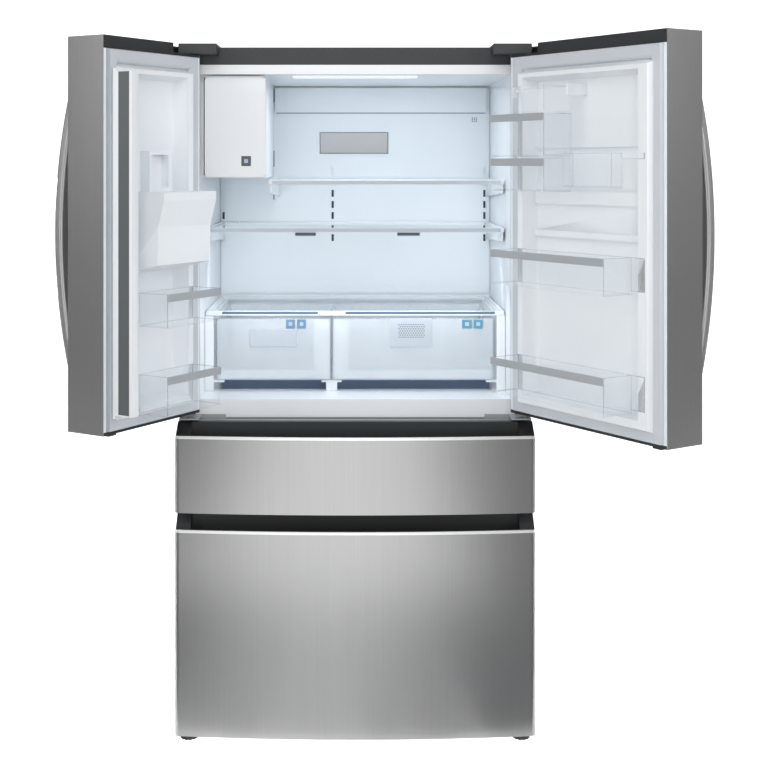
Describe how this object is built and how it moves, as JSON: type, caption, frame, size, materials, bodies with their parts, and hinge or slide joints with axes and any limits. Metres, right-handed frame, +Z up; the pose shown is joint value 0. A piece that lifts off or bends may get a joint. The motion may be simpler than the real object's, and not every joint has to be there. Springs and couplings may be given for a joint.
{
  "type": "french door refrigerator",
  "caption": "Freestanding French door refrigerator: bowed stainless doors standing open over pull-out drawers, lit interior with glass shelves, clear crispers and door bins.",
  "frame": {"origin": "on the floor, below the middle of the cabinet's front face", "axes": "+X to the right, +Y to the back, +Z up"},
  "size_m": [1.5364, 1.134, 1.784],
  "materials": {
    "shell_paint": "satin dark grey paint",
    "foam": "rigid foam, matte",
    "liner_white": "satin white",
    "frame_white": "gloss white",
    "clear_glass": "clear",
    "clear_plastic": "clear",
    "trim_grey": "satin grey",
    "gasket_grey": "matte",
    "stainless": "brushed",
    "dark_cap": "satin dark grey",
    "bright_lip": "polished",
    "zinc_steel": "zinc plated",
    "rail_paint": "satin grey paint",
    "black_plastic": "matte",
    "black_metal": "gloss black paint",
    "fin_metal": "mill",
    "light_lens": "frosted",
    "mullion_white": "satin white"
  },
  "bodies": {
    "cabinet": {"cabinet_shell": "shell_paint", "cabinet_foam": "foam", "fresh_food_liner": "liner_white", "drawer_liners": "liner_white", "cross_rails": "rail_paint", "air_duct_panel": "liner_white", "ceiling_light": "light_lens", "shelf_frames": "frame_white", "shelf_glass": "clear_glass", "ice_compartment": "liner_white", "base_frame": "black_metal", "machine_cover": "black_plastic", "compressor": "black_metal", "condenser": "black_metal", "evaporator": "fin_metal", "door_hinges": "zinc_steel", "hinge_covers": "dark_cap", "runner_rails": "zinc_steel", "levelling_feet": "black_plastic"},
    "left_door": {"left_door_skin": "stainless", "left_door_caps": "dark_cap", "left_door_liner": "liner_white", "left_door_foam": "foam", "left_door_gasket": "gasket_grey", "left_door_handle": "stainless", "left_door_bins": "clear_plastic", "left_bin_rims": "trim_grey", "dispenser_bezel": "dark_cap"},
    "right_door": {"right_door_skin": "stainless", "right_door_caps": "dark_cap", "right_door_liner": "liner_white", "right_door_foam": "foam", "right_door_gasket": "gasket_grey", "right_door_handle": "stainless", "right_door_bins": "clear_plastic", "right_bin_rims": "trim_grey"},
    "mullion": {"mullion_bar": "mullion_white"},
    "dispenser_paddle": {"dispenser_paddle": "black_plastic"},
    "dairy_lid": {"dairy_lid": "clear_plastic"},
    "flex_drawer": {"flex_front": "stainless", "flex_cap": "dark_cap", "flex_core": "foam", "flex_trim": "bright_lip", "flex_gasket": "gasket_grey", "flex_box": "clear_plastic"},
    "flex_runner": {"flex_runner_middle": "zinc_steel"},
    "freezer_drawer": {"freezer_front": "stainless", "freezer_cap": "dark_cap", "freezer_core": "foam", "freezer_trim": "bright_lip", "freezer_gasket": "gasket_grey", "freezer_box": "clear_plastic"},
    "freezer_runner": {"freezer_runner_middle": "zinc_steel"},
    "freezer_basket": {"freezer_basket": "clear_plastic"},
    "crisper_left": {"crisper_left": "clear_plastic"},
    "crisper_right": {"crisper_right": "clear_plastic"},
    "ice_bin": {"ice_bin": "liner_white"},
    "ice_auger": {"ice_auger": "fin_metal"},
    "condenser_fan": {"condenser_fan": "black_plastic"},
    "rear_rollers": {"rear_rollers": "black_plastic"}
  },
  "joints": [
    {"name": "left_door_hinge", "type": "hinge", "parent": "cabinet", "child": "left_door", "pos_m": [-0.434, -0.047, 0.848], "axis": [0, 0, -1], "range_deg": [-121.5, 0]},
    {"name": "right_door_hinge", "type": "hinge", "parent": "cabinet", "child": "right_door", "pos_m": [0.434, -0.047, 0.848], "axis": [0, 0, 1], "range_deg": [-123, 0]},
    {"name": "mullion_fold", "type": "hinge", "parent": "left_door", "child": "mullion", "pos_m": [-0.55106, -0.34998, 0.897], "axis": [0, 0, 1], "range_deg": [-90, 0]},
    {"name": "paddle_press", "type": "hinge", "parent": "left_door", "child": "dispenser_paddle", "pos_m": [-0.52393, -0.16313, 1.346], "axis": [-0.5225, -0.8526, 0], "range_deg": [0, 8], "stiffness_Nm_per_rad": 0.6},
    {"name": "dairy_lid_lift", "type": "hinge", "parent": "right_door", "child": "dairy_lid", "pos_m": [0.4515, -0.20614, 1.657], "axis": [-0.5446, 0.8387, 0], "range_deg": [0, 80]},
    {"name": "flex_drawer_slide", "type": "slide", "parent": "cabinet", "child": "flex_drawer", "axis": [0, -1, 0], "range_m": [0, 0.4]},
    {"name": "flex_runner_slide", "type": "slide", "parent": "cabinet", "child": "flex_runner", "axis": [0, -1, 0], "range_m": [0, 0.2]},
    {"name": "freezer_drawer_slide", "type": "slide", "parent": "cabinet", "child": "freezer_drawer", "axis": [0, -1, 0], "range_m": [0, 0.4]},
    {"name": "freezer_runner_slide", "type": "slide", "parent": "cabinet", "child": "freezer_runner", "axis": [0, -1, 0], "range_m": [0, 0.2]},
    {"name": "freezer_basket_slide", "type": "slide", "parent": "freezer_drawer", "child": "freezer_basket", "axis": [0, 1, 0], "range_m": [0, 0.165]},
    {"name": "crisper_left_slide", "type": "slide", "parent": "cabinet", "child": "crisper_left", "axis": [0, -1, 0], "range_m": [0, 0.24]},
    {"name": "crisper_right_slide", "type": "slide", "parent": "cabinet", "child": "crisper_right", "axis": [0, -1, 0], "range_m": [0, 0.24]},
    {"name": "ice_bin_slide", "type": "slide", "parent": "cabinet", "child": "ice_bin", "axis": [0, -1, 0], "range_m": [0, 0.3]},
    {"name": "ice_auger_spin", "type": "hinge", "parent": "ice_bin", "child": "ice_auger", "pos_m": [-0.321, 0.033, 1.4785], "axis": [0, 1, 0], "continuous": true},
    {"name": "condenser_fan_spin", "type": "hinge", "parent": "cabinet", "child": "condenser_fan", "pos_m": [-0.04, 0.522, 0.1495], "axis": [1, 0, 0], "continuous": true},
    {"name": "rear_roller_spin", "type": "hinge", "parent": "cabinet", "child": "rear_rollers", "pos_m": [0, 0.57, 0.02], "axis": [1, 0, 0], "continuous": true}
  ],
  "couplings": [
    {"joint": "flex_runner_slide", "follows": "flex_drawer_slide", "ratio": 0.5},
    {"joint": "freezer_runner_slide", "follows": "freezer_drawer_slide", "ratio": 0.5}
  ]
}
